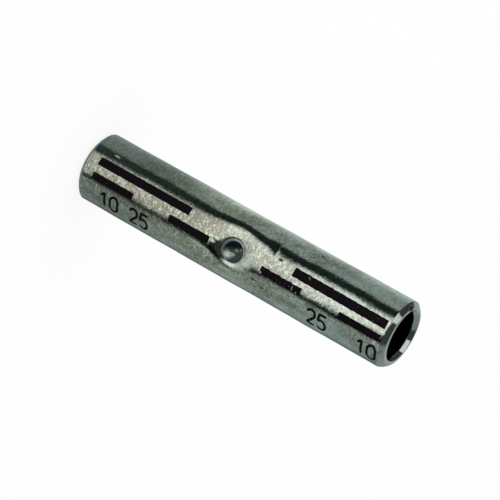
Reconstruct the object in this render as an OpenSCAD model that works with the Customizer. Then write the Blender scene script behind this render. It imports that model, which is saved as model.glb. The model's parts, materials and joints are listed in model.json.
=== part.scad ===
// Compression butt connector: one drawn copper tube, tin plated, that joins two conductors end to end.
// The tube stands on its lower end with its axis on +Z, and the stop is pressed in from the -Y side.

/* [Tube] */
// Cut length of the tube
tube_length = 51; // [40:0.5:70]
// Outside diameter, on which the crimping die closes
outer_d = 10; // [9:0.1:13]
// Bore that takes the conductor
bore_d = 7; // [5:0.1:8]

/* [Ends] */
// Outer bevel, measured along the tube
bevel_length = 0.55; // [0.2:0.05:1.5]
// Outer bevel, measured in from the outside
bevel_width = 0.75; // [0.2:0.05:0.9]
// Lead-in of the bore, measured along the tube
lead_length = 0.55; // [0.2:0.05:1.5]
// Lead-in of the bore, measured out from its wall
lead_width = 0.3; // [0.1:0.05:0.4]

/* [Centre stop] */
// Offset of the stop from mid-length, towards the upper end
stop_offset = 0.4; // [-3:0.1:3]
// How far the stop stands into the bore
stop_height = 1.1; // [0.6:0.05:1.6]
// Wall left between the bottom of the pit and the crown of the stop
stop_wall = 0.9; // [0.7:0.05:1.4]
// Radius of the stop's rounded crown
stop_r = 3; // [2.5:0.1:4]
// Width of the punched pit, inside its shoulder
pit_d = 2.9; // [2:0.1:3.6]
// Rounding of the pit's shoulder
shoulder_r = 0.3; // [0.1:0.05:0.4]
// Width of the punch's blunt nose, which leaves the flat at the bottom of the pit
nose_d = 0.8; // [0.2:0.1:1.6]

/* [Sunk wall] */
// How far the wall has sunk at the pit
sink_depth = 0.4; // [0.1:0.05:0.5]
// Length of the sunk stretch along the tube
sink_length = 12; // [8:0.5:18]
// Angle of the sunk stretch around the tube
sink_span = 100; // [80:5:120]
// How much further the wall dips just round the pit
dip_depth = 0.3; // [0.1:0.05:0.4]
// Width of that dip
dip_d = 5.8; // [5.2:0.1:7]
// How far the bore is drawn in beside the stop
neck_depth = 0.1; // [0.05:0.05:0.3]
// Length of the drawn-in stretch of the bore
neck_length = 8; // [6:0.5:14]

/* [Hidden] */
$fn = 96;

// Room that a cutting shape has beyond the surface it cuts
clear = 1;

outer_r = outer_d / 2;
bore_r = bore_d / 2;
wall = outer_r - bore_r;
stop_z = tube_length / 2 + stop_offset;

// Bevel and lead-in leave a flat ring on the end, however thin the wall is
bevel_w = min(bevel_width, 0.56 * wall);
lead_w = min(lead_width, 0.26 * wall);

// Distances from the tube's axis: sunk wall, rim of the pit, crown of the stop
sunk_r = outer_r - sink_depth;
rim_r = sunk_r - dip_depth;
crown_r = bore_r - stop_height;
pit_r = pit_d / 2;

// Radius of a circle from half its chord and its height
function arc_radius(half_chord, height) = (half_chord * half_chord + height * height) / (2 * height);

// The sunk wall is flatter than the tube, and runs out to the tube's surface on all sides
sunk_half_chord = outer_r * sin(sink_span / 2);
sunk_section_r = arc_radius(sunk_half_chord, sunk_r - outer_r * cos(sink_span / 2));
sunk_run_r = arc_radius(sink_length / 2, sink_depth);
neck_run_r = arc_radius(neck_length / 2, neck_depth);

// The shoulder stands just above the dip, so that it runs out into it all the way round
shoulder_reach = pit_r + shoulder_r;
shoulder_proud = 0.02;
shoulder_y = rim_r + shoulder_proud - shoulder_r;

// Bottom of the pit, at least a little below its shoulder
pit_bottom_r = min(crown_r + stop_wall, shoulder_y - 0.2);

// How much wider the dip gets for each millimetre that it rises
dip_flare = (dip_d / 2 - shoulder_reach) / dip_depth;

// Half section of the plain tube, with both ends bevelled
module tube_section() {
    polygon([
        [bore_r + lead_w, 0],
        [outer_r - bevel_w, 0],
        [outer_r, bevel_length],
        [outer_r, tube_length - bevel_length],
        [outer_r - bevel_w, tube_length],
        [bore_r + lead_w, tube_length],
        [bore_r, tube_length - lead_length],
        [bore_r, lead_length],
    ]);
}

// Shallow hollow-sided ring that narrows the bore beside the stop
module neck_section() {
    intersection() {
        translate([bore_r - neck_depth + neck_run_r, stop_z]) circle(neck_run_r, $fn = 360);
        translate([bore_r - neck_depth, stop_z - neck_length / 2])
            square([neck_depth + wall / 2, neck_length]);
    }
}

// Half section of the punched pit, measured out from the tube's axis
module pit_section() {
    difference() {
        polygon([
            [0, pit_bottom_r],
            [nose_d / 2, pit_bottom_r],
            [pit_r, shoulder_y],
            [shoulder_reach, shoulder_y],
            [shoulder_reach, outer_r + clear],
            [0, outer_r + clear],
        ]);
        translate([shoulder_reach, shoulder_y]) circle(shoulder_r);
    }
}

// Turns a shape that stands on +Z to point out at the pressed side, level with the stop
module at_stop() {
    translate([0, 0, stop_z]) rotate([90, 0, 0]) children();
}

// Rounded stop inside the bore, rooted in the wall
module stop_crown() {
    intersection() {
        at_stop() translate([0, 0, crown_r + stop_r]) sphere(stop_r);
        cylinder(r = bore_r + wall / 2, h = tube_length);
    }
}

// What the press takes off the outside round the pit: all that lies outside a wide ring
module sunk_relief() {
    difference() {
        translate([-outer_r - clear, -outer_r - clear, stop_z - sink_length / 2 - clear])
            cube([2 * (outer_r + clear), outer_r + clear, sink_length + 2 * clear]);
        translate([0, -sunk_r - sunk_run_r, stop_z]) rotate([0, 90, 0])
            rotate_extrude($fn = 720) translate([sunk_run_r + sunk_section_r, 0]) circle(sunk_section_r);
    }
}

// Shallow cone round the pit, from inside its shoulder up to the level of the plain outside
module dip_cone() {
    start_y = rim_r - shoulder_r / dip_flare;
    translate([0, 0, start_y])
        cylinder(h = outer_r - start_y, r1 = pit_r, r2 = pit_r + (outer_r - start_y) * dip_flare);
}

module connector_sleeve() {
    color([0.66, 0.65, 0.61])
        difference() {
            union() {
                rotate_extrude() {
                    tube_section();
                    neck_section();
                }
                stop_crown();
            }
            sunk_relief();
            at_stop() dip_cone();
            at_stop() rotate_extrude() pit_section();
        }
}

connector_sleeve();
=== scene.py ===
import json
import math

import bpy
import numpy as np
from mathutils import Matrix, Vector


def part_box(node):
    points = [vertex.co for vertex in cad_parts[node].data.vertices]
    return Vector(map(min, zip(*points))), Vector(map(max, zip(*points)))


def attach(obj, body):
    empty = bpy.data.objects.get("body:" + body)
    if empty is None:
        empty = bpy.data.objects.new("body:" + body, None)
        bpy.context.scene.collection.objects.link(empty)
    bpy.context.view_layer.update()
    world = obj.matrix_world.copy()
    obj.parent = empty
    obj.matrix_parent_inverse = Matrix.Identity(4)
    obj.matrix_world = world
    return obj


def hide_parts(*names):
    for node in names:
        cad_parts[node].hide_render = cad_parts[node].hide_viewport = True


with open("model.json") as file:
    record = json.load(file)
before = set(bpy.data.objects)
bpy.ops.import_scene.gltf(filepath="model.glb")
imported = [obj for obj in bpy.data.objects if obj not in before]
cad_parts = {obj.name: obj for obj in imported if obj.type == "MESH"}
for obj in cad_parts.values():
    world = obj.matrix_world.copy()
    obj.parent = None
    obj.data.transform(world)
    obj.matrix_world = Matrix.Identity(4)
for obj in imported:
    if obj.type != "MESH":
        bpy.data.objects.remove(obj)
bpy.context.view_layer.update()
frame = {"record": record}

mm = 0.001

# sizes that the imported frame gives, in millimetres
lowCorner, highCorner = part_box("connector_sleeve")
sockets = {m["name"]: m for m in frame["record"]["mounts"] if m["kind"] == "bore"}
tubeLength = round((highCorner.z - lowCorner.z) / mm, 2)
outerR = round((highCorner.y - lowCorner.y) / 2 / mm, 2)
boreR = sockets["upper_socket"]["dims"]["r_mm"]
midZ = tubeLength / 2


def innerEnd(socket):
    # middle of the socket's wall, less half its length against the way the conductor leaves
    middle = socket["pos_m"][2] / mm
    return middle - socket["axis"][2] * socket["dims"]["length_mm"] / 2


stopZ = (innerEnd(sockets["upper_socket"]) + innerEnd(sockets["lower_socket"])) / 2
print("frame: tube", tubeLength, "mm, outside", 2 * outerR, "bore", 2 * boreR, "stop at", stopZ)


# helpers for meshes and node trees

def graded(low, high, count, focuses):
    # values from low to high, packed gain times closer within reach of each focus
    fineSteps = 8001
    t = np.linspace(low, high, fineSteps)
    density = 1 + sum((gain - 1) * np.exp(-((t - centre) / reach) ** 4) for centre, reach, gain in focuses)
    share = np.cumsum(density)
    share = (share - share[0]) / (share[-1] - share[0])
    return np.interp(np.linspace(0, 1, count), share, t)


def smoothMax(a, b, blend):
    # the larger of a and b, with a parabola over the stretch where they differ by less than blend
    near = np.clip(blend - np.abs(a - b), 0, None) / blend
    return np.maximum(a, b) + near * near * blend / 4


def hump(t):
    # squared cosine: one at zero, level there, and nought from one on
    return np.cos(np.pi / 2 * np.clip(np.abs(t), 0, 1)) ** 2


def gridFaces(rows, columns, wrapRows, wrapColumns):
    # corner numbers of the quads of a grid, closed on itself along the wrapped sides
    i = np.arange(rows if wrapRows else rows - 1)[:, None]
    j = np.arange(columns if wrapColumns else columns - 1)[None, :]
    nextRow = (i + 1) % rows
    nextColumn = (j + 1) % columns
    here, there = i * columns, nextRow * columns
    corners = [here + j, here + nextColumn, there + nextColumn, there + j]
    return np.stack(np.broadcast_arrays(*corners), axis=-1).reshape(-1, 4)


def makeObject(name, points, faces, material):
    # points are in millimetres, in the frame of the part
    mesh = bpy.data.meshes.new(name)
    mesh.from_pydata((points.reshape(-1, 3) * mm).tolist(), [], faces)
    mesh.polygons.foreach_set("use_smooth", np.ones(len(mesh.polygons), dtype=bool))
    mesh.materials.append(material)
    made = bpy.data.objects.new(name, mesh)
    bpy.context.scene.collection.objects.link(made)
    return made


def addAttribute(piece, name, values):
    # one number for each point, which a material reads by name
    layer = piece.data.attributes.new(name, "FLOAT", "POINT")
    layer.data.foreach_set("value", values.ravel().astype(np.float32))


def newMaterial(name):
    material = bpy.data.materials.new(name)
    material.use_nodes = True
    material.node_tree.nodes.clear()
    return material


def setSockets(tree, made, values):
    # each socket, by name or number, set to a value or linked from another node
    for key, value in values:
        if isinstance(value, bpy.types.NodeSocket):
            tree.links.new(value, made.inputs[key])
        elif isinstance(value, tuple) and made.inputs[key].type == "RGBA":
            made.inputs[key].default_value = (*value, 1)
        else:
            made.inputs[key].default_value = value


def addNode(tree, kind, values=None, **settings):
    made = tree.nodes.new(kind)
    for key, value in settings.items():
        setattr(made, key, value)
    setSockets(tree, made, (values or {}).items())
    return made


def addNoise(tree, place, scale, detail, roughness, distortion):
    values = {"Vector": place, "Scale": scale, "Detail": detail}
    values.update({"Roughness": roughness, "Distortion": distortion})
    return addNode(tree, "ShaderNodeTexNoise", values).outputs["Fac"]


def addMapping(tree, place, scale):
    return addNode(tree, "ShaderNodeMapping", {"Vector": place, "Scale": scale}).outputs["Vector"]


def addStep(tree, value, low, high, top):
    # nought below low, top above high, straight between
    values = {"Value": value, "From Min": low, "From Max": high, "To Min": 0.0, "To Max": top}
    return addNode(tree, "ShaderNodeMapRange", values).outputs["Result"]


def addMath(tree, operation, *values):
    made = addNode(tree, "ShaderNodeMath", operation=operation)
    setSockets(tree, made, enumerate(values))
    return made.outputs[0]


def addLine(tree, value, slope, start):
    # slope times the value, plus start
    return addMath(tree, "MULTIPLY_ADD", value, slope, start)


def mixColour(tree, factor, first, second):
    # the inputs and the output for colours, by number
    made = addNode(tree, "ShaderNodeMix", data_type="RGBA")
    setSockets(tree, made, ((0, factor), (6, first), (7, second)))
    return made.outputs[2]


# tin plating

tin = {
    "clean": (0.585, 0.68, 0.605),
    "dulled": (0.475, 0.52, 0.40),
    "cream": (0.30, 0.25, 0.16),     # flecks that the copper tints
    "stain": (0.295, 0.30, 0.245),
    "pale": (0.91, 0.97, 0.94),
    "white": (0.93, 0.95, 0.90),     # bright crystals, painted glints
    "rubbed": (0.875, 1.0, 0.87),    # bright end of the tones of matte places, painted light in and round the pit,
    "shade": (0.0, 0.006, 0.009),    # and their dark end, painted shade there
    "pinHole": (0.07, 0.045, 0.035),
    "copper": (0.04, 0.025, 0.018),  # base metal where a bevel or a mark is bare
    "cut": (0.60, 0.66, 0.63),       # turned faces of the ends
    "bore": (0.10, 0.10, 0.11),      # painted shade inside the bore, where it lies in shadow
    "strokes": (1.0, 1.0, 1.6),      # the grain is this much finer along the tube than around it
    "streaks": (1.0, 1.0, 0.4),      # and the clouds are longer
    # noises: cells in a metre, detail, roughness, distortion
    "grainNoise": (1700, 3, 0.6, 0.4),
    "fleckNoise": (1650, 4, 0.65, 1.0),
    "fineNoise": (2600, 2, 0.55, 0.8),
    "cloudNoise": (270, 5, 0.62, 0.6),
    "holeNoise": (620, 1, 0.5, 0.0),
    # level of its noise where each kind starts and where it is full, and its share there
    "fleckStep": (0.49, 0.55, 1.0),
    "stainStep": (0.50, 0.60, 0.8),
    "paleStep": (0.47, 0.38, 0.65),
    "fineDarkStep": (0.53, 0.66, 0.6),
    "finePaleStep": (0.47, 0.34, 0.35),
    "whiteStep": (0.45, 0.40, 0.8),
    "holeStep": (0.76, 0.80, 1.0),
    "rubbedStep": (0.42, 0.58, 1.0),
    # slope and start of the line that one layer follows by another
    "fleckByDull": (0.6, 0.3),
    "paleByFlecked": (-1.2, 1.6),
    "paleByDull": (-0.4, 1.0),
    "rubbedByFleck": (-0.4, 1.2),
    "metalByCover": (-0.95, 1.0),
    "bumpBySmooth": (-0.95, 1.0),
    "coverGain": 3.0,                # how fast a matte or bare place takes its colour
    "roughness": (0.07, 0.17),       # of clean and of stained tin
    "matteRoughness": 0.3,           # what a matte place adds
    "specular": 0.04,
    "grainHeight": 0.026 * mm,
    "cloudHeight": 0.03 * mm,
}


def tinFinish():
    material = newMaterial("tinPlating")
    tree = material.node_tree
    place = addNode(tree, "ShaderNodeTexCoord").outputs["Object"]
    drawn = addMapping(tree, place, tin["strokes"])
    streaked = addMapping(tree, place, tin["streaks"])
    grain = addNoise(tree, drawn, *tin["grainNoise"])
    fleck = addNoise(tree, drawn, *tin["fleckNoise"])
    fine = addNoise(tree, drawn, *tin["fineNoise"])
    cloud = addNoise(tree, streaked, *tin["cloudNoise"])
    hole = addNoise(tree, place, *tin["holeNoise"])
    names = ("dull", "flecked", "cut", "bore", "smooth", "matte", "tone", "bare")
    layers = [addNode(tree, "ShaderNodeAttribute", attribute_name=name).outputs["Fac"] for name in names]
    dull, flecked, cut, bore, smooth, matte, tone, bare = layers

    # flecks strengthen where the plating is dull, and, as painted glints, towards the side with the stop
    # that faces the bright reflection
    colour = mixColour(tree, dull, tin["clean"], tin["dulled"])
    fleckLevel = addMath(tree, "MULTIPLY", addLine(tree, dull, *tin["fleckByDull"]), flecked)
    fleckShare = addMath(tree, "MULTIPLY", addStep(tree, fleck, *tin["fleckStep"]), fleckLevel)
    colour = mixColour(tree, fleckShare, colour, tin["cream"])
    stainShare = addStep(tree, cloud, *tin["stainStep"])
    colour = mixColour(tree, stainShare, colour, tin["stain"])
    # pale clouds weaken where the flecks and painted glints strengthen
    paleLevel = addLine(tree, flecked, *tin["paleByFlecked"])
    paleLevel = addMath(tree, "MULTIPLY", paleLevel, addLine(tree, dull, *tin["paleByDull"]))
    paleShare = addMath(tree, "MULTIPLY", addStep(tree, cloud, *tin["paleStep"]), paleLevel)
    colour = mixColour(tree, paleShare, colour, tin["pale"])
    colour = mixColour(tree, addStep(tree, fine, *tin["fineDarkStep"]), colour, tin["cream"])
    colour = mixColour(tree, addStep(tree, fine, *tin["finePaleStep"]), colour, tin["pale"])
    whiteShare = addMath(tree, "MULTIPLY", addStep(tree, fleck, *tin["whiteStep"]), flecked)
    colour = mixColour(tree, whiteShare, colour, tin["white"])
    colour = mixColour(tree, addStep(tree, hole, *tin["holeStep"]), colour, tin["pinHole"])
    colour = mixColour(tree, cut, colour, tin["cut"])
    # colour of the matte places: painted light and shade in and round the pit, pale marks elsewhere
    speckled = addLine(tree, addStep(tree, fleck, *tin["rubbedStep"]), *tin["rubbedByFleck"])
    rubbed = mixColour(tree, addMath(tree, "MULTIPLY", tone, speckled), tin["shade"], tin["rubbed"])
    # a little cover already gives its colour, so that the bright tin doesn't turn pale under it
    colour = mixColour(tree, addMath(tree, "MULTIPLY", matte, tin["coverGain"]), colour, rubbed)
    colour = mixColour(tree, addMath(tree, "MULTIPLY", bare, tin["coverGain"]), colour, tin["copper"])
    # painted shade inside the bore
    colour = mixColour(tree, bore, colour, tin["bore"])

    low, high = tin["roughness"]
    rough = addLine(tree, stainShare, high - low, low)
    rough = addLine(tree, matte, tin["matteRoughness"], rough)
    metal = addLine(tree, addMath(tree, "MAXIMUM", matte, bare), *tin["metalByCover"])

    even = addLine(tree, smooth, *tin["bumpBySmooth"])
    waves = {"Strength": even, "Distance": tin["cloudHeight"], "Height": cloud}
    waved = addNode(tree, "ShaderNodeBump", waves).outputs["Normal"]
    grains = {"Strength": even, "Distance": tin["grainHeight"], "Height": grain, "Normal": waved}
    normal = addNode(tree, "ShaderNodeBump", grains).outputs["Normal"]
    values = {"Base Color": colour, "Metallic": metal, "Roughness": rough, "Normal": normal}
    values["Specular IOR Level"] = tin["specular"]
    shader = addNode(tree, "ShaderNodeBsdfPrincipled", values)
    addNode(tree, "ShaderNodeOutputMaterial", {"Surface": shader.outputs["BSDF"]})
    return material


tinMaterial = tinFinish()
print("finish: tin plating")


# sleeve

sleeve = {
    "bevel": (0.55, 0.75),           # outer edge of each end: along the tube, in from the outside
    "leadIn": (0.55, 0.30),          # mouth of the bore: along the tube, out from its wall
    # the ends were turned off centre: by how much the widths swing, and where each is narrowest,
    # degrees from the stop's line, at the lower and the upper end
    "bevelSwing": ((0.20, 0.10), (180, 216.5)),
    "leadSwing": ((0.0, 0.24), (0, 31.5)),
    # the bevel runs further along the wall on one side: by how much, middle and half width of that side,
    # degrees, and the length of wall over which that fades
    "bevelDrop": ((0.33, 0.6), (0, 92), (100, 55)),
    "dropFade": 2,
    "bevelBulge": (0.10, 0.12),      # and is rounded there
    "edgeTrim": 0.08,                # where the rounding of an edge starts
    "edgeSteps": 5,
    "wallRows": 232,
    "boreRows": 46,
    "faceRows": (0, 0.05, 0.2, 0.35, 0.5, 0.65, 0.8, 0.95, 1),  # rows of a bevel, lead-in or end ring
    "columns": 272,
    # where rows and columns lie closer: half length, or half angle in radians, and how many times
    "stopFocus": (3.2, 8),
    "creaseFocus": (0.4, 10),
    "boreFocus": (3.0, 5),
    "turnFocus": (0.55, 4.5),
    "skin": 0.03,                    # the ripples stay within the plain outside
    # height, radians in a millimetre, lobes, phase
    "ripples": ((0.012, 0.42, 3, 0.4), (0.007, 0.95, 5, 1.9), (0.010, 0.17, 2, 3.1)),
}
centreStop = {
    "sink": 0.40,                    # broad hollow of the wall
    "sinkReach": (7.0, 4.8),         # where it runs out: along, across
    "funnel": 0.32,                  # steeper dip just round the pit,
    "funnelLean": 0.75,              # deeper by this share on the side that the camera has below
    "leanPower": 4,                  # how narrow that side is
    "leanCore": 0.1,                 # and over what distance from the pit's middle it starts
    "funnelReach": (1.5, 3.9),       # distances from the pit's middle between which the dip runs out
    "rim": (0.09, -0.16, 1.72),      # the pit's rim: across, along, radius
    "edge": (0.265, -0.12, 1.53),    # the sharp edge inside it
    "edgeDrop": 0.16,                # how far that edge lies below the rim
    "pitBottom": 3.3,                # distance of the bottom from the tube's axis
    "bowl": 3.0,                     # power of the bowl inside the edge
    "rimBlend": 0.08,
    "crown": 1.1,                    # how far the bump stands into the bore
    "crownR": 3.0,
    "crownBlend": 0.35,
}
crease = {
    "along": 5.6,                    # sharp end of the hollow, from the stop
    "run": 1.7,                      # how far the crease deepens towards it
    "step": 0.12,
    "turn": -42,                     # its lowest line, degrees from the stop's line
    "halfWidths": (40, 23),          # to either side of that line
    "depth": 0.15,
}


def bumps(z, turn):
    # sum of low waves along and around the wall, in millimetres
    return sum(h * np.sin(rate * z + lobes * turn + phase) for h, rate, lobes, phase in sleeve["ripples"])


def creaseDepth(z, turn):
    # valley along the tube that deepens evenly up to a step
    past = z - stopZ - crease["along"]
    depth = np.clip(np.where(past < 0, 1 + past / crease["run"], 1 - past / crease["step"]), 0, 1)
    across = np.degrees(turn) - crease["turn"]
    return crease["depth"] * depth * hump(across / np.where(across < 0, *crease["halfWidths"]))


def wallRadius(radius, z, turn):
    # plain radius less the skin, with the ripples, less the crease
    return radius - sleeve["skin"] + bumps(z, turn) - creaseDepth(z, turn)


rimY = centreStop["sink"] + centreStop["funnel"] - outerR


def ringDepth(x, along):
    # leaning cone through the rim and the edge: the share of the way from one circle to the other,
    # times the drop
    rimX, rimAlong, rimR = centreStop["rim"]
    edgeX, edgeAlong, edgeR = centreStop["edge"]
    dx, dz = x - rimX, along - rimAlong
    leanX, leanZ, shrink = edgeX - rimX, edgeAlong - rimAlong, rimR - edgeR
    a = leanX ** 2 + leanZ ** 2 - shrink ** 2
    b = leanX * dx + leanZ * dz - rimR * shrink
    c = dx * dx + dz * dz - rimR ** 2
    share = c / (b - np.sqrt(np.clip(b * b - a * c, 0, None)))
    return centreStop["edgeDrop"] * share


def bowlDepth(x, along):
    # power of the distance from the middle of the edge
    edgeX, edgeAlong, edgeR = centreStop["edge"]
    share = np.hypot(x - edgeX, along - edgeAlong) / edgeR
    bottom = -rimY - centreStop["pitBottom"]
    return centreStop["edgeDrop"] + (bottom - centreStop["edgeDrop"]) * (1 - share ** centreStop["bowl"])


def pressOutside(x, y, z):
    # moves the wall in along +Y: a broad hollow, a dip round the pit, and the pit
    along = z - stopZ
    reach = np.hypot(x, along)
    sinkAlong, sinkAcross = centreStop["sinkReach"]
    hollow = centreStop["sink"] * hump(np.hypot(along / sinkAlong, x / sinkAcross))
    start, end = centreStop["funnelReach"]
    below = np.clip(x / (reach + centreStop["leanCore"]), 0, 1) ** centreStop["leanPower"]
    lean = 1 + centreStop["funnelLean"] * below
    dip = centreStop["funnel"] * lean * np.clip((end - reach) / (end - start), 0, 1) ** 2
    bowl = bowlDepth(x, along)
    pit = np.where(bowl > centreStop["edgeDrop"], bowl, ringDepth(x, along))
    return np.where(y < 0, y + hollow + dip + smoothMax(pit, 0, centreStop["rimBlend"]), y)


def pressInside(x, y, z):
    # lifts the bore's wall to a spherical crown, blended into the wall
    along = z - stopZ
    height = centreStop["crownR"] ** 2 - x * x - along * along
    crown = centreStop["crown"] - boreR - centreStop["crownR"] + np.sqrt(np.clip(height, 0, None))
    return np.where((y < 0) & (height > 0), smoothMax(y, crown, centreStop["crownBlend"]), y)


def outsidePoint(z, turn, lift=0.0):
    # point on the outer wall at height z and angle turn from the stop's line, lifted out by lift
    radius = wallRadius(outerR, z, turn) + lift
    x = radius * np.sin(turn)
    y = pressOutside(x, -radius * np.cos(turn), z)
    return np.stack(np.broadcast_arrays(x, y, z), axis=-1)


def sectionLoop():
    # closed half section: eight corners, each a parabola between two points trimmed from it,
    # joined by straight rows
    bevelLength, bevelWidth = sleeve["bevel"]
    leadLength, leadWidth = sleeve["leadIn"]
    corners = np.array([
        (outerR, bevelLength),
        (outerR, tubeLength - bevelLength),
        (outerR - bevelWidth, tubeLength),
        (boreR + leadWidth, tubeLength),
        (boreR, tubeLength - leadLength),
        (boreR, leadLength),
        (boreR + leadWidth, 0),
        (outerR - bevelWidth, 0),
    ])
    before = np.roll(corners, 1, axis=0) - corners
    after = np.roll(corners, -1, axis=0) - corners
    before /= np.linalg.norm(before, axis=1, keepdims=True)
    after /= np.linalg.norm(after, axis=1, keepdims=True)
    t = np.linspace(0, 1, sleeve["edgeSteps"])[None, :, None]
    start = (corners + sleeve["edgeTrim"] * before)[:, None, :]
    end = (corners + sleeve["edgeTrim"] * after)[:, None, :]
    arcs = (1 - t) ** 2 * start + 2 * t * (1 - t) * corners[:, None, :] + t * t * end
    wallFocus = [(stopZ, *sleeve["stopFocus"]), (stopZ + crease["along"], *sleeve["creaseFocus"])]
    boreFocus = [(stopZ, *sleeve["boreFocus"])]
    wallSide, boreSide = 0, 4
    loop = []
    for side, arc in enumerate(arcs):
        here, there = arc[-1], arcs[(side + 1) % len(arcs)][0]
        if side == wallSide:
            level = graded(here[1], there[1], sleeve["wallRows"], wallFocus)
            share = (level - here[1]) / (there[1] - here[1])
        elif side == boreSide:
            level = graded(there[1], here[1], sleeve["boreRows"], boreFocus)[::-1]
            share = (level - here[1]) / (there[1] - here[1])
        else:
            share = np.array(sleeve["faceRows"])
        loop += [arc, here + share[1:-1, None] * (there - here)]
    return np.concatenate(loop)


def byEnd(level, pair):
    # the value for the lower end or the upper end
    return np.where(level > midZ, pair[1], pair[0])


def fromEnd(level):
    # distance from the nearer end
    return np.minimum(level, tubeLength - level)


def endSwing(radius, level, turn):
    # how far the two rims of an end lie off centre, fading from rim to rim over the flat ring
    # and away from the end
    bevelLength, bevelWidth = sleeve["bevel"]
    leadLength, leadWidth = sleeve["leadIn"]
    share = np.clip((radius - boreR - leadWidth) / (outerR - bevelWidth - boreR - leadWidth), 0, 1)
    bevelBy, bevelNarrow = (byEnd(level, pair) for pair in sleeve["bevelSwing"])
    leadBy, leadNarrow = (byEnd(level, pair) for pair in sleeve["leadSwing"])
    away = fromEnd(level)
    outer = bevelBy * np.cos(turn - np.radians(bevelNarrow)) * np.clip(1 - away / bevelLength, 0, 1)
    inner = leadBy * np.cos(turn - np.radians(leadNarrow)) * np.clip(1 - away / leadLength, 0, 1)
    return share * outer - (1 - share) * inner


def bevelMove(level, turn):
    # on one side the bevel's outer edge lies further along the wall, fading to the end ring and along
    # the wall, and the bevel bulges as a parabola: the moves away from the end and outwards
    length, width = sleeve["bevel"]
    share = fromEnd(level) / length
    by, middle, half = (byEnd(level, pair) for pair in sleeve["bevelDrop"])
    side = hump((np.degrees(turn) - middle) / half)
    fade = np.clip(1 - (fromEnd(level) - length) / sleeve["dropFade"], 0, 1)
    drop = by * side * np.where(share < 1, share, fade)
    bulge = byEnd(level, sleeve["bevelBulge"]) * side * 4 * np.clip(share * (1 - share), 0, None)
    slope = math.hypot(length, width)
    return drop - bulge * width / slope, bulge * length / slope


rubsAndPaintedLight = {
    # ovals of matte tone on the wall, painted light near the pit and pale marks further off: along from the
    # stop, degrees from its line, half length, half width, share, level
    "wall": (
        (-21.7, -41.5, 0.60, 0.18, 0.95, 0.85),
        (-23.4, -30.0, 0.50, 0.35, 0.35, 0.85),
        (5.9, -33.0, 0.30, 0.60, 0.5, 0.85),
        (23.7, 15.4, 0.35, 0.45, 0.6, 0.85),
        (1.5, 18.0, 1.6, 1.0, 0.7, 0.55),
        (2.3, 9.0, 1.7, 0.9, 0.8, 0.57),
        (2.5, -3.0, 1.1, 1.0, 0.6, 0.60),
        (0.05, 23.0, 1.9, 0.66, 1.0, 0.80),
        (-3.3, 1.5, 0.60, 0.40, 0.8, 0.72),
        (-2.75, -5.5, 0.50, 0.40, 0.8, 0.72),
    ),
    "circleFade": 0.06,              # how far inside its circle a layer of the pit is full
    # painted shade round the pit's rim: across, along, radius, share, level
    "lip": (0.04, -0.23, 1.80, 0.85, 0.03),
    "lipFade": 0.9,                  # how far along from the stop that shade runs out
    "ring": (0.85, 0.30, 0.16),      # painted light on the sloping ring between the pit's rim and its edge: share, level, gain along the tube
    "bowl": (0.95, 0.045),           # painted shade inside the edge
    # painted shade, darkest on one side of the bowl: direction in degrees, start and full reach in edge
    # radii, level
    "deepSide": (-160, 0.12, 0.42, 0.004),
    # ovals of painted light and shade in the bowl, as on the wall
    "pit": (
        (-0.05, 0.8, 0.50, 0.45, 0.9, 0.26),
        (0.52, -4.1, 0.35, 0.30, 0.9, 0.42),
        (-1.55, 2.5, 0.7, 0.6, 0.9, 0.09),
        (-0.95, 12.0, 0.85, 0.80, 1.0, 0.70),
        (-0.40, 9.2, 0.50, 0.38, 0.9, 0.50),
        (-0.79, 5.2, 0.28, 0.25, 0.9, 0.03),
        (-0.75, 11.1, 0.18, 0.13, 0.8, 0.15),
    ),
    # ovals of bare copper on the upper bevel, and as marks on the wall, with their share
    "bare": (
        (25.2, -74.5, 0.60, 0.85, 1.0),
        (24.75, 27.0, 0.40, 0.90, 0.2),
        (4.30, 24.5, 0.55, 0.17, 1.0),
        (5.77, 31.9, 0.45, 0.13, 0.7),
        (6.75, -25.0, 0.45, 0.30, 0.7),
        (11.05, -69.0, 0.50, 0.27, 0.8),
        (-3.30, 32.0, 0.36, 0.12, 0.9),
    ),
}


def ovalShare(z, turn, along, middle, halfLength, halfWidth):
    # soft oval on the outside
    across = (turn - math.radians(middle)) * outerR / halfWidth
    return hump(np.hypot((z - stopZ - along) / halfLength, across))


def withinCircle(x, z, circle):
    # one inside the circle, fading to nought at its line
    away = np.hypot(x - circle[0], z - stopZ - circle[1])
    return np.clip((circle[2] - away) / rubsAndPaintedLight["circleFade"], 0, 1)


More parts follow.
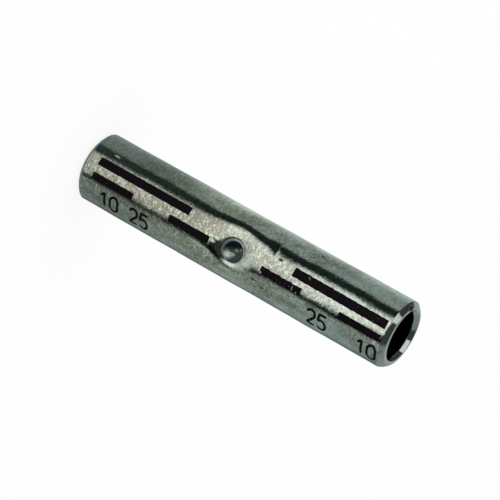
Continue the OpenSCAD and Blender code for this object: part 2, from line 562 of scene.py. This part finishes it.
def rubbingAndPaintedLight(x, z, turn):
    # matte layers laid over one another, painted light and shade in and round the pit and pale marks
    # elsewhere: the share that they cover, and their mean level there
    layers = [(share * ovalShare(z, turn, *oval), level) for *oval, share, level in rubsAndPaintedLight["wall"]]
    front = np.cos(turn) > 0
    edgeX, edgeAlong, edgeR = centreStop["edge"]
    way, start, full, paintedShadeLevel = rubsAndPaintedLight["deepSide"]
    wayX, wayAlong = math.cos(math.radians(way)), math.sin(math.radians(way))
    reach = (x - edgeX) * wayX + (z - stopZ - edgeAlong) * wayAlong
    bowl = front * withinCircle(x, z, centreStop["edge"])
    # in and round the pit these layers are painted light and shade
    *lip, lipShare, lipLevel = rubsAndPaintedLight["lip"]
    fade = np.clip(1 - (z - stopZ) / rubsAndPaintedLight["lipFade"], 0, 1)
    layers.append((lipShare * front * fade * withinCircle(x, z, lip), lipLevel))
    ringShare, ringLevel, ringGain = rubsAndPaintedLight["ring"]
    ringTone = ringLevel + ringGain * (z - stopZ) / centreStop["rim"][2]
    layers.append((ringShare * front * withinCircle(x, z, centreStop["rim"]), ringTone))
    layers.append((rubsAndPaintedLight["bowl"][0] * bowl, rubsAndPaintedLight["bowl"][1]))
    layers += [(bowl * share * ovalShare(z, turn, *oval), level) for *oval, share, level in rubsAndPaintedLight["pit"]]
    layers.append((bowl * np.clip((reach / edgeR - start) / (full - start), 0, 1), paintedShadeLevel))
    cover = np.zeros(x.shape)
    light = np.zeros(x.shape)
    for share, level in layers:
        cover = cover + share * (1 - cover)
        light = light + share * (level - light)
    leastCover = 1e-3
    return cover, light / np.maximum(cover, leastCover)


coat = {
    "inside": 0.15,                  # the inside reaches this far past the lead-in's rim
    "dull": (16, 20),                # end of the dull plating from mid-length, and over what length it grows
    "flecked": (0.5, -0.03, 0.85),   # least share, and middle and half width in radians of the side with the flecks' painted glints, facing the bright reflection
    "cutDepth": 0.03,                # the turned faces reach this far past their edge
    "cutShare": 0.8,
    "cutSmooth": 0.85,
    "pressed": (3, 6.2, 5),          # smooth wall round the stop: gain, half length, half width
    "boreFade": 0.3,                 # length over which the painted shade inside the bore comes in
}


def makeSleeve():
    loop = sectionLoop()
    turn = graded(-math.pi, math.pi, sleeve["columns"] + 1, [(0.0, *sleeve["turnFocus"])])[None, :-1]
    radius, level = loop[:, :1], loop[:, 1:]
    outside = radius > boreR + sleeve["leadIn"][1] + coat["inside"]
    away, bulge = bevelMove(level, turn)
    z = np.where(outside, level + away * np.where(level > midZ, -1, 1), level)
    radius = np.where(outside, wallRadius(radius, z, turn) + bulge, radius) + endSwing(radius, level, turn)
    x = radius * np.sin(turn)
    plain = -radius * np.cos(turn)
    y = np.where(outside, pressOutside(x, plain, z), pressInside(x, plain, z))
    points = np.stack([x, y, z], axis=-1)
    faces = gridFaces(*points.shape[:2], True, True).tolist()
    piece = makeObject("connectorSleeve", points, faces, tinMaterial)
    # matte cover and its tone: painted light and shade in and round the pit, pale marks elsewhere
    matte, tone = rubbingAndPaintedLight(x, z, turn)
    bare = sum(share * ovalShare(z, turn, *oval) for *oval, share in rubsAndPaintedLight["bare"])
    addAttribute(piece, "matte", np.where(outside, matte, 0))
    addAttribute(piece, "tone", tone)
    addAttribute(piece, "bare", np.where(outside, bare, 0))
    dullEnd, dullRun = coat["dull"]
    addAttribute(piece, "dull", np.clip((midZ + dullEnd - z) / dullRun, 0, 1))
    # flecks and painted glints, strongest on the side facing the bright reflection
    least, middle, half = coat["flecked"]
    addAttribute(piece, "flecked", least + (1 - least) * hump((turn - middle) / half) + 0 * z)
    past = fromEnd(level) - np.where(outside, sleeve["bevel"][0], sleeve["leadIn"][0])
    cut = np.where(past < coat["cutDepth"], 1, 0) + 0 * turn
    addAttribute(piece, "cut", coat["cutShare"] * cut)
    gain, halfLength, halfWidth = coat["pressed"]
    pressed = np.clip(gain * hump(np.hypot((z - stopZ) / halfLength, x / halfWidth)), 0, 1) * (y < 0)
    addAttribute(piece, "smooth", np.maximum(coat["cutSmooth"] * cut, pressed))
    # painted shade inside the bore, full a little past the lead-in
    addAttribute(piece, "bore", np.where(outside, 0, np.clip(past / coat["boreFade"], 0, 1)) + 0 * turn)
    return piece


sleevePiece = makeSleeve()
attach(sleevePiece, "root")
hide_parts("connector_sleeve")
print("sleeve:", len(sleevePiece.data.polygons), "faces")


# printed marks

ink = {
    "colour": (0.005, 0.0025, 0.0045),
    "lift": 0.012,                   # thickness of the film over the tin
    "root": 0.010,                   # how far its underside lies below
    "digitHeight": 2.45,
    "digitWidth": 1.45,
    "digitPitch": 1.75,
    "stroke": 0.39,
    "cornerR": 0.12,                 # of a bar
    "tip": 0.08,                     # least distance from a stroke's tip, in half strokes
    "barRows": 110,
    "barColumns": 8,
    "strokeColumns": 4,
    "numberWear": 0.1,
    "speckNoise": (3200, 3, 0.6, 0.0),  # cells in a metre, detail, roughness, distortion
    "wearGain": 0.14,                # how far wear lifts that noise
    "wornStep": (0.73, 0.78, 0.6),   # where worn ink starts and is full, and its share there
    "roughness": 0.45,
    # how a bar's edges wander: degrees without wear, rate and phase of one wave, rate of the other
    "wander": (0.2, 5.1, 1.3, 1.7),
    # ovals of worn ink: along from the stop, degrees from its line, half length, half width, strength
    "wornSpots": (
        (4.95, 7.5, 0.35, 0.25, 2.2),
        (10.05, 4.0, 0.10, 0.70, 2.6),
        (11.7, -20.5, 0.40, 0.40, 1.9),
    ),
}
# one block of print at each end, the upper one a little askew
printBlocks = (
    {
        "pivot": -15.0,              # along from mid-length
        "skew": 0.0,                 # degrees for each millimetre from the pivot
        "bars": (                    # along, from and to, degrees from the stop's line, from and to, wear
            (-23.10, -7.55, -28.6, -14.8, 0.05),
            (-23.10, -16.20, -2.5, 9.5, 0.05),
            (-10.05, -3.40, -2.5, 10.0, 0.10),
        ),
        # text, along of its left edge, degrees of its middle
        "numbers": (("10", -21.2, 34.8), ("25", -16.1, 35.0)),
    },
    {
        "pivot": 9.6,
        "skew": 0.1,
        "bars": (
            (9.65, 24.60, -26.5, -11.7, 0.20),
            (5.20, 11.85, -2.5, 9.8, 0.60),
            (17.90, 24.50, -1.2, 10.4, 0.05),
        ),
        "numbers": (("25", 13.5, 33.5), ("10", 21.5, 35.7)),
    },
)


def inkFinish():
    material = newMaterial("markingInk")
    tree = material.node_tree
    place = addNode(tree, "ShaderNodeTexCoord").outputs["Object"]
    speck = addNoise(tree, place, *ink["speckNoise"])
    wear = addNode(tree, "ShaderNodeAttribute", attribute_name="wear").outputs["Fac"]
    worn = addStep(tree, addLine(tree, wear, ink["wearGain"], speck), *ink["wornStep"])
    colour = mixColour(tree, worn, ink["colour"], tin["clean"])
    values = {"Base Color": colour, "Metallic": worn, "Roughness": ink["roughness"]}
    values["Specular IOR Level"] = tin["specular"]
    shader = addNode(tree, "ShaderNodeBsdfPrincipled", values)
    addNode(tree, "ShaderNodeOutputMaterial", {"Surface": shader.outputs["BSDF"]})
    return material


def inkFilm(edgeA, edgeB, across):
    # closed film between two edge lines given as along and turn: its section runs over the top
    # and back under the tin
    t = np.linspace(0, 1, across)
    over = np.concatenate([t, t[::-1]])
    lift = np.full(over.shape, -ink["root"])
    lift[:across] = ink["lift"]
    flat = edgeA[:, None, :] + over[None, :, None] * (edgeB - edgeA)[:, None, :]
    points = outsidePoint(midZ + flat[..., 0], flat[..., 1], lift[None, :])
    rows, columns = points.shape[:2]
    faces = gridFaces(rows, columns, False, True).tolist()
    faces += [list(range(columns))[::-1], list(range((rows - 1) * columns, rows * columns))]
    return points.reshape(-1, 3), faces


def joinFilms(name, films, wear, material):
    # several films as one mesh, each with its own wear plus the worn spots
    points, faces, levels, start = [], [], [], 0
    for (filmPoints, filmFaces), filmWear in zip(films, wear):
        points.append(filmPoints)
        faces += [[corner + start for corner in face] for face in filmFaces]
        turn = np.arctan2(filmPoints[:, 0], -filmPoints[:, 1])
        height = filmPoints[:, 2]
        spots = [strength * ovalShare(height, turn, *oval) for *oval, strength in ink["wornSpots"]]
        levels.append(filmWear + sum(spots))
        start += len(filmPoints)
    piece = makeObject(name, np.concatenate(points), faces, material)
    addAttribute(piece, "wear", np.concatenate(levels))
    return piece


def onBlock(block, along, degrees):
    # a place of the print as along and turn, with the block's skew
    turn = np.radians(degrees + block["skew"] * (along - block["pivot"]))
    return np.stack([along, turn], axis=-1)


def barEdges(block, low, high, turnLow, turnHigh, worn):
    # two long edges, with round corners at the ends and a wander of the print that grows with its wear
    along = (low + high) / 2 - (high - low) / 2 * np.cos(np.linspace(0, math.pi, ink["barRows"]))
    gap = np.clip(ink["cornerR"] - np.minimum(along - low, high - along), 0, None)
    corner = ink["cornerR"] - np.sqrt(np.clip(ink["cornerR"] ** 2 - gap * gap, 0, None))
    least, first, phase, second = ink["wander"]
    wander = (least + worn) * np.sin(first * along + phase) * np.sin(second * along)
    wander = wander + np.degrees(corner / outerR)
    return onBlock(block, along, turnLow + wander), onBlock(block, along, turnHigh - wander)


def arc(cx, cy, rx, ry, start, end, count=24):
    # points of an ellipse between two angles in degrees
    angle = np.radians(np.linspace(start, end, count))
    return np.stack([cx + rx * np.cos(angle), cy + ry * np.sin(angle)], axis=-1)


def line(*corners):
    # straight runs between corners, sampled evenly, each corner once
    corners = np.array(corners, dtype=float)
    samples = 10
    t = np.linspace(0, 1, samples)[:-1, None]
    runs = [a + t * (b - a) for a, b in zip(corners[:-1], corners[1:])]
    return np.concatenate(runs + [corners[-1:]])


def digitStrokes(digit):
    # centre lines of a plain one-stroke digit in a box one wide and one high
    if digit == "1":
        return [line((0.10, 0.74), (0.55, 1.0)), line((0.55, 1.0), (0.55, 0.0))]
    if digit == "2":
        bowl = arc(0.47, 0.72, 0.43, 0.28, 165, -40)
        slope = line(tuple(bowl[-1]), (0.05, 0.0))
        return [np.concatenate([bowl[:-1], slope]), line((0.05, 0.0), (0.95, 0.0))]
    if digit == "5":
        return [line((0.88, 1.0), (0.14, 1.0), (0.08, 0.52)), arc(0.45, 0.33, 0.46, 0.33, 145, -150)]
    upper = ((0.0, 0.5), (0.0, 0.8), (0.3, 1.0), (0.6, 1.0), (0.88, 0.8))
    lower = ((0.88, 0.2), (0.6, 0.0), (0.3, 0.0), (0.0, 0.2), (0.0, 0.55))
    return [line(*upper, *lower)]


def strokeEdges(path):
    # edges half a stroke to the left and to the right of the path, drawn in to a round tip at both ends;
    # in this order the film's faces look outwards
    way = np.gradient(path, axis=0)
    way /= np.linalg.norm(way, axis=1, keepdims=True)
    side = np.stack([-way[:, 1], way[:, 0]], axis=-1)
    run = np.concatenate([[0], np.cumsum(np.linalg.norm(np.diff(path, axis=0), axis=1))])
    half = ink["stroke"] / 2
    fromTip = np.clip(np.minimum(run, run[-1] - run) / half, ink["tip"], 1)
    width = half * np.sqrt(1 - (1 - fromTip) ** 2)
    return path + side * width[:, None], path - side * width[:, None]


def numberFilms(block, text, left, middle):
    # a film for each stroke, with the height of a digit laid around the tube
    films = []
    for place, digit in enumerate(text):
        for stroke in digitStrokes(digit):
            path = stroke * (ink["digitWidth"], ink["digitHeight"]) + (left + place * ink["digitPitch"], 0)
            edges = []
            for edge in strokeEdges(path):
                below = np.degrees((ink["digitHeight"] / 2 - edge[:, 1]) / outerR)
                edges.append(onBlock(block, edge[:, 0], middle + below))
            films.append(inkFilm(*edges, ink["strokeColumns"]))
    return films


inkMaterial = inkFinish()
barFilms, barWear, digitFilms = [], [], []
for block in printBlocks:
    for low, high, turnLow, turnHigh, worn in block["bars"]:
        edges = barEdges(block, low, high, turnLow, turnHigh, worn)
        barFilms.append(inkFilm(*edges, ink["barColumns"]))
        barWear.append(worn)
    for text, left, middle in block["numbers"]:
        digitFilms += numberFilms(block, text, left, middle)
barPiece = joinFilms("crimpBars", barFilms, barWear, inkMaterial)
digitWear = [ink["numberWear"]] * len(digitFilms)
numberPiece = joinFilms("sizeNumbers", digitFilms, digitWear, inkMaterial)
for marks in (barPiece, numberPiece):
    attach(marks, "root")
print("marks:", len(barPiece.data.polygons), "faces in bars,", len(numberPiece.data.polygons), "in numbers")


# camera at the photograph's viewing angle

camera = {
    "azimuth": -13.5,
    "elevation": 22.76,
    "roll": 119.42,                  # the tube lies across the picture, upper end to the right and down
    "distance": 373.95 * mm,
    "aim": (0.556 * mm, -0.165 * mm),  # the picture's centre from the tube's middle: right, up
    "lens": 200.2,
    "sensor": 36,
    "clip": (0.01, 20),
}


def direction(azimuth, elevation):
    # unit vector from the tube towards a place given in degrees
    a, e = math.radians(azimuth), math.radians(elevation)
    return Vector((math.sin(a) * math.cos(e), -math.cos(a) * math.cos(e), math.sin(e)))


def makeCamera():
    data = bpy.data.cameras.new("photoCamera")
    data.lens = camera["lens"]
    data.sensor_width = camera["sensor"]
    data.clip_start, data.clip_end = camera["clip"]
    made = bpy.data.objects.new("photoCamera", data)
    bpy.context.scene.collection.objects.link(made)
    back = direction(camera["azimuth"], camera["elevation"])
    level = (-back).to_track_quat("-Z", "Y").to_matrix()
    turned = level @ Matrix.Rotation(math.radians(camera["roll"]), 3, "Z")
    right, up = turned.col[0], turned.col[1]
    aimRight, aimUp = camera["aim"]
    place = Vector((0, 0, midZ * mm)) + back * camera["distance"] + right * aimRight + up * aimUp
    made.matrix_world = Matrix.Translation(place) @ turned.to_4x4()
    bpy.context.scene.camera = made


makeCamera()
print("camera: azimuth", camera["azimuth"], "elevation", camera["elevation"])


# floor, reflection cards and light

studio = {
    "floorSize": 6.0,
    "floorColour": (0.9, 0.9, 0.9),
    "floorGlow": 0.85,               # share of the floor's white that is its own, for a soft shadow
    "cardHeight": 0.03 * mm,
    "cardReach": 720,                # millimetres from the tube
    "cardColumns": 721,
    "cardFoot": (-0.9, -0.05),       # rows under the bevel,
    "cardNear": (0.05, 200, 90),     # near the tube: from, to, how many,
    "cardFar": (220, 10),            # and far from it: from, how many
    "whiteEdge": (62, 21),           # where the white table ends on the right: millimetres, degrees
    "whiteFade": (5, 3),             # over how many of both it fades
    "whiteSide": 23,                 # the wall's angle past which that plays no part
    "whiteLoss": 0.96,               # how much of the white is gone there
    "domeRadius": 0.7,
    "roomGrid": (46, 181),           # rows, columns
    # the lamp's place: right of the camera's line, to the front, up
    "lamp": {"place": (-0.25, 0.13, 0.42), "size": 0.31, "power": 0.30},
    # corners of the lamp as the metal mirrors it, in its plane: right of the camera's line, to the front
    "lampCorners": ((-0.125, -0.133), (-0.110, -0.125), (0.038, 0.35), (-0.62, 0.35)),
    "lampLevel": 0.88,
    "tint": (0.93, 1.03, 0.98),
    # what lies round the tube, by degrees from the camera's side: on the table, and standing above it
    "table": (
        (-180, (0.50, 0.58, 0.58)),
        (-144, (0.47, 0.55, 0.55)),
        (-120, (0.325, 0.37, 0.367)),
        (-104, (0.25, 0.293, 0.283)),
        (-70, (0.25, 0.293, 0.283)),
        (-65, (0.013, 0.020, 0.020)),
        (-41, (0.013, 0.020, 0.020)),
        (-36, (0.42, 0.45, 0.44)),
        (-31, (0.80, 0.83, 0.81)),
        (-22, (1.0, 1.0, 0.98)),
        (24, (1.0, 1.0, 0.98)),
        (32, (0.86, 0.88, 0.87)),
        (38, (0.50, 0.53, 0.52)),
        (43, (0.013, 0.020, 0.020)),
        (51, (0.013, 0.020, 0.020)),
        (56, (0.277, 0.321, 0.312)),
        (84, (0.270, 0.313, 0.304)),
        (100, (0.235, 0.272, 0.264)),
        (128, (0.25, 0.296, 0.30)),
        (144, (0.19, 0.24, 0.235)),
        (160, (0.10, 0.13, 0.125)),
        (180, (0.12, 0.15, 0.15)),
    ),
    "room": ((-180, 0.45), (-148, 0.45), (-144, 0.05), (63, 0.05), (69, 0.25), (130, 0.27), (180, 0.45)),
    "overhead": 0.055,
    "overheadFrom": (60, 67),        # elevations between which the room turns dark
    "backdrop": (-38, 24, 12),       # white behind the table: from, to, height in degrees
    "backdropFade": 4,               # degrees
    "backdropLevel": 0.9,
    "frontSide": (-50, 47),          # degrees between which the table lies in front
    # the table's level by millimetres from the tube, on the camera's left, in front, and on the right
    "nearLeft": ((0, 0.55), (25, 0.61), (50, 1.34), (75, 1.34), (110, 1.04)),
    "nearFront": ((0, 0.61), (25, 0.69), (45, 0.96), (62, 0.98), (80, 1.0), (110, 1.0)),
    "nearRight": ((0, 0.88), (25, 0.92), (52, 1.38), (75, 1.38), (110, 1.08)),
    "haze": (0.035, 0.05, 0.06),     # what the table's dark stripes gain close to the tube,
    "hazeReach": 60,                 # how far out that runs out,
    "footShade": (0.24, 0.275, 0.26),  # and what lies under the bevel
}


def glowMaterial(name):
    # shows a colour attribute as its own light
    material = newMaterial(name)
    tree = material.node_tree
    colour = addNode(tree, "ShaderNodeAttribute", attribute_name="shade").outputs["Color"]
    glow = addNode(tree, "ShaderNodeEmission", {"Color": colour, "Strength": 1.0})
    addNode(tree, "ShaderNodeOutputMaterial", {"Surface": glow.outputs["Emission"]})
    return material


def makeCard(name, points, shade, closed=False):
    # a reflection card that only the metal sees
    faces = gridFaces(*points.shape[:2], False, closed).tolist()
    card = makeObject(name, points, faces, glowMaterial(name))
    layer = card.data.color_attributes.new("shade", "FLOAT_COLOR", "POINT")
    colours = np.concatenate([shade, np.ones(shade.shape[:2] + (1,))], axis=-1)
    layer.data.foreach_set("color", colours.astype(np.float32).ravel())
    card.visible_camera = False
    card.visible_diffuse = False
    card.visible_shadow = False


def makeTableCard():
    # each column leaves the wall at twice its angle, as the wall mirrors to the camera, so that a band
    # of the card runs straight along the tube
    angle = np.linspace(-90, 90, studio["cardColumns"])[None, :]
    farStart, farCount = studio["cardFar"]
    farRows = np.linspace(farStart, studio["cardReach"], farCount)
    out = np.concatenate([studio["cardFoot"], np.linspace(*studio["cardNear"]), farRows])[:, None]
    near = np.radians(angle + camera["azimuth"])
    far = np.radians(2 * angle + camera["azimuth"])
    foot = outerR + np.minimum(out, 0)
    run = np.maximum(out, 0)
    x = foot * np.sin(near) + run * np.sin(far)
    y = -foot * np.cos(near) - run * np.cos(far)
    points = np.stack(np.broadcast_arrays(x, y, studio["cardHeight"] / mm), axis=-1)
    places = np.array([band[0] for band in studio["table"]])
    colours = np.array([band[1] for band in studio["table"]])
    shade = np.stack([np.interp(2 * angle, places, colours[:, c]) for c in range(3)], axis=-1)
    names = ("nearLeft", "nearFront", "nearRight")
    left, front, right = (np.interp(out, *zip(*studio[name])) for name in names)
    frontStart, frontEnd = studio["frontSide"]
    level = np.where(2 * angle < frontStart, left, np.where(2 * angle < frontEnd, front, right))
    edge, side = studio["whiteEdge"]
    edgeFade, sideFade = studio["whiteFade"]
    sideways = out * np.sin(np.radians(2 * angle))
    ended = np.clip((sideways - edge) / edgeFade, 0, 1) * np.clip((2 * angle - side) / sideFade, 0, 1)
    ended = ended * (angle < studio["whiteSide"])
    shade = shade * (level * (1 - studio["whiteLoss"] * ended))[..., None]
    shade += np.clip(1 - out / studio["hazeReach"], 0, 1)[..., None] * np.array(studio["haze"])
    shade = np.where(out[..., None] < 0, np.array(studio["footShade"]), shade)
    makeCard("tableCard", points, shade, True)


def makeRoomCard():
    # upper shell round the table, darker overhead
    rows, columns = studio["roomGrid"]
    azimuth = np.linspace(-180, 180, columns)[None, :]
    elevation = np.linspace(90, 0, rows)[:, None]
    a = np.radians(azimuth + camera["azimuth"])
    e = np.radians(elevation)
    ways = (np.sin(a) * np.cos(e), -np.cos(a) * np.cos(e), np.sin(e))
    shell = np.stack(np.broadcast_arrays(*ways), axis=-1)
    side = np.interp(azimuth, *zip(*studio["room"]))
    rise = np.interp(elevation, studio["overheadFrom"], (1.0, 0.0))
    start, end, top = studio["backdrop"]
    fade = studio["backdropFade"]
    white = np.clip((top - elevation) / fade, 0, 1)
    white = white * np.clip(np.minimum(azimuth - start, end - azimuth) / fade, 0, 1)
    level = np.maximum(side * rise + studio["overhead"] * (1 - rise), studio["backdropLevel"] * white)
    shade = level[..., None] * np.array(studio["tint"])
    makeCard("roomCard", shell * studio["domeRadius"] / mm, shade)


def fromCamera(right, front):
    # a place given right of the camera's line and to its front, turned into the part's axes
    turn = math.radians(camera["azimuth"])
    return right * math.cos(turn) + front * math.sin(turn), right * math.sin(turn) - front * math.cos(turn)


def makeLampCard():
    # the lamp as the metal mirrors it, its corners as a grid of two by two
    points = [(*fromCamera(*corner), studio["lamp"]["place"][2]) for corner in studio["lampCorners"]]
    points = np.array(points)[[[0, 1], [3, 2]]] / mm
    makeCard("lampCard", points, np.full((2, 2, 3), studio["lampLevel"]))


def makeFloor():
    # diffuse, so that it takes the shadow, with a share of its own white where the camera sees it,
    # directly, mirrored or through something clear
    half = studio["floorSize"] / 2 / mm
    points = np.array([(-half, -half, 0), (half, -half, 0), (half, half, 0), (-half, half, 0)], dtype=float)
    material = newMaterial("paleFloor")
    tree = material.node_tree
    path = addNode(tree, "ShaderNodeLightPath").outputs
    seen = addMath(tree, "MAXIMUM", path["Is Camera Ray"], path["Is Glossy Ray"])
    seen = addMath(tree, "MAXIMUM", seen, path["Is Transmission Ray"])
    plain = addNode(tree, "ShaderNodeBsdfDiffuse", {"Color": studio["floorColour"]})
    white = addNode(tree, "ShaderNodeEmission", {"Color": (1.0, 1.0, 1.0), "Strength": 1.0})
    glow = addMath(tree, "MULTIPLY", seen, studio["floorGlow"])
    parts = {0: glow, 1: plain.outputs["BSDF"], 2: white.outputs["Emission"]}
    mix = addNode(tree, "ShaderNodeMixShader", parts)
    addNode(tree, "ShaderNodeOutputMaterial", {"Surface": mix.outputs["Shader"]})
    makeObject("floor", points, [[0, 1, 2, 3]], material)


def makeLight():
    # white world, and one soft lamp that the metal doesn't mirror
    world = bpy.data.worlds.new("studioWorld")
    world.use_nodes = True
    world.node_tree.nodes["Background"].inputs["Color"].default_value = (1, 1, 1, 1)
    world.node_tree.nodes["Background"].inputs["Strength"].default_value = 1.0
    bpy.context.scene.world = world
    lamp = studio["lamp"]
    data = bpy.data.lights.new("softbox", "AREA")
    data.shape = "SQUARE"
    data.size = lamp["size"]
    data.energy = lamp["power"]
    made = bpy.data.objects.new("softbox", data)
    bpy.context.scene.collection.objects.link(made)
    right, front, up = lamp["place"]
    made.location = (*fromCamera(right, front), up)
    made.rotation_euler = (0, 0, math.radians(camera["azimuth"]))
    made.visible_camera = False
    made.visible_glossy = False


makeFloor()
makeTableCard()
makeRoomCard()
makeLampCard()
makeLight()
bpy.context.scene.view_settings.view_transform = "Standard"
print("studio: floor, cards and light")
